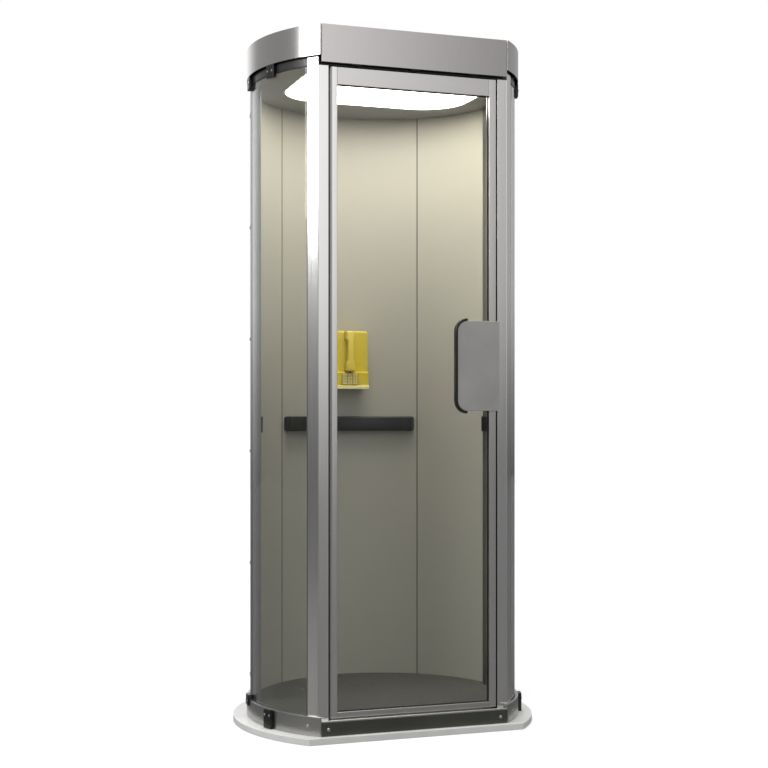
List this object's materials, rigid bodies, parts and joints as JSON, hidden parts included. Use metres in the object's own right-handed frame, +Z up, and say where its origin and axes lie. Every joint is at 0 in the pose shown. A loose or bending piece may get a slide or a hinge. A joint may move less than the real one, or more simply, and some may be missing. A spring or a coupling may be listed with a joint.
{
  "type": "telephone booth",
  "caption": "One-person telephone booth, round in plan with a flat glazed door, curved glass sides, opaque rear panels, luminous ceiling, pull plate, arm rail and wall telephone.",
  "frame": {"origin": "centre of the anchor-hole circle, which is the axis of the round plan, on the underside of the ground slab", "axes": "+Z up, the door and flat front face -Y, +X to the right of someone facing the back of the booth from the door"},
  "size_m": [1.022, 0.8669, 2.27],
  "materials": {
    "slab": "pale matt paint",
    "black_steel": "satin black paint",
    "grey_enamel": "satin grey enamel",
    "dark_enamel": "satin dark enamel",
    "roof_steel": "matt grey paint",
    "satin_aluminium": "satin anodised",
    "post_metal": "brushed and clear anodised",
    "rear_post_metal": "satin grey",
    "polished_steel": "polished",
    "floor_steel": "primed",
    "mat": "matt, low studs",
    "clear_glass": "clear toughened",
    "wall_laminate": "warm white solid laminate",
    "seal_rubber": "black",
    "black_plastic": "black, fine grain",
    "ceiling_paint": "matt white",
    "opal": "opal diffuser, lit from behind",
    "tray_steel": "gloss white",
    "lamp": "lamp strips",
    "closer_body": "silver grey paint",
    "spindle_steel": "ground",
    "bush_brass": "machined",
    "plate_paint": "satin grey paint",
    "phone_yellow": "glossy yellow",
    "phone_plate": "black paint",
    "board_green": "solder mask",
    "key_plastic": "light grey",
    "key_bezel": "dark grey",
    "handset_plastic": "glossy yellow"
  },
  "bodies": {
    "booth": {"base_slab": "slab", "base_frame": "black_steel", "plinth_skirt": "grey_enamel", "plinth_front": "dark_enamel", "door_sill": "polished_steel", "floor_plate": "floor_steel", "floor_mat": "mat", "corner_post_left": "post_metal", "corner_post_right": "post_metal", "rear_posts": "rear_post_metal", "side_glass_left": "clear_glass", "side_glass_right": "clear_glass", "rear_panel_centre": "wall_laminate", "rear_panel_left": "wall_laminate", "rear_panel_right": "wall_laminate", "wall_seals": "seal_rubber", "glass_clamps": "black_plastic", "wall_rail": "black_plastic", "header_frame": "black_steel", "fascia_band": "grey_enamel", "fascia_front": "grey_enamel", "fascia_brackets": "black_steel", "roof_pan": "roof_steel", "ceiling_panel": "ceiling_paint", "light_diffuser": "opal", "lamp_tray": "tray_steel", "light_strips": "lamp", "door_closer": "closer_body", "bottom_pivot": "spindle_steel", "door_seal": "seal_rubber", "phone_housing": "phone_yellow", "phone_back_plate": "phone_plate", "circuit_board": "board_green", "cable_gland": "black_plastic", "keypad_frame": "key_bezel"},
    "door": {"hinge_stile": "satin_aluminium", "lock_stile": "satin_aluminium", "door_top_rail": "satin_aluminium", "door_bottom_rail": "polished_steel", "door_glass": "clear_glass", "door_gasket": "seal_rubber", "pull_plate": "plate_paint", "pull_grip": "black_plastic", "pull_standoffs": "polished_steel", "top_spindle": "spindle_steel", "pivot_bush": "bush_brass"},
    "handset": {"handset": "handset_plastic"},
    "hook_plunger": {"hook_plunger": "key_plastic"},
    "key_1": {"key_1": "key_plastic"},
    "key_2": {"key_2": "key_plastic"},
    "key_3": {"key_3": "key_plastic"},
    "key_4": {"key_4": "key_plastic"},
    "key_5": {"key_5": "key_plastic"},
    "key_6": {"key_6": "key_plastic"},
    "key_7": {"key_7": "key_plastic"},
    "key_8": {"key_8": "key_plastic"},
    "key_9": {"key_9": "key_plastic"},
    "key_star": {"key_star": "key_plastic"},
    "key_0": {"key_0": "key_plastic"},
    "key_hash": {"key_hash": "key_plastic"}
  },
  "joints": [
    {"name": "door_hinge", "type": "hinge", "parent": "booth", "child": "door", "pos_m": [-0.27508, -0.304, 0.07], "axis": [0, 0, -1], "range_deg": [0, 95], "stiffness_Nm_per_rad": 6},
    {"name": "handset_lift", "type": "slide", "parent": "booth", "child": "handset", "axis": [0, -1, 0], "range_m": [0, 0.25]},
    {"name": "hook_press", "type": "slide", "parent": "booth", "child": "hook_plunger", "axis": [0, 1, 0], "range_m": [0, 0.003], "stiffness_N_per_m": 200},
    {"name": "key_1_press", "type": "slide", "parent": "booth", "child": "key_1", "axis": [0, 1, 0], "range_m": [0, 0.002], "stiffness_N_per_m": 500},
    {"name": "key_2_press", "type": "slide", "parent": "booth", "child": "key_2", "axis": [0, 1, 0], "range_m": [0, 0.002], "stiffness_N_per_m": 500},
    {"name": "key_3_press", "type": "slide", "parent": "booth", "child": "key_3", "axis": [0, 1, 0], "range_m": [0, 0.002], "stiffness_N_per_m": 500},
    {"name": "key_4_press", "type": "slide", "parent": "booth", "child": "key_4", "axis": [0, 1, 0], "range_m": [0, 0.002], "stiffness_N_per_m": 500},
    {"name": "key_5_press", "type": "slide", "parent": "booth", "child": "key_5", "axis": [0, 1, 0], "range_m": [0, 0.002], "stiffness_N_per_m": 500},
    {"name": "key_6_press", "type": "slide", "parent": "booth", "child": "key_6", "axis": [0, 1, 0], "range_m": [0, 0.002], "stiffness_N_per_m": 500},
    {"name": "key_7_press", "type": "slide", "parent": "booth", "child": "key_7", "axis": [0, 1, 0], "range_m": [0, 0.002], "stiffness_N_per_m": 500},
    {"name": "key_8_press", "type": "slide", "parent": "booth", "child": "key_8", "axis": [0, 1, 0], "range_m": [0, 0.002], "stiffness_N_per_m": 500},
    {"name": "key_9_press", "type": "slide", "parent": "booth", "child": "key_9", "axis": [0, 1, 0], "range_m": [0, 0.002], "stiffness_N_per_m": 500},
    {"name": "key_star_press", "type": "slide", "parent": "booth", "child": "key_star", "axis": [0, 1, 0], "range_m": [0, 0.002], "stiffness_N_per_m": 500},
    {"name": "key_0_press", "type": "slide", "parent": "booth", "child": "key_0", "axis": [0, 1, 0], "range_m": [0, 0.002], "stiffness_N_per_m": 500},
    {"name": "key_hash_press", "type": "slide", "parent": "booth", "child": "key_hash", "axis": [0, 1, 0], "range_m": [0, 0.002], "stiffness_N_per_m": 500}
  ]
}
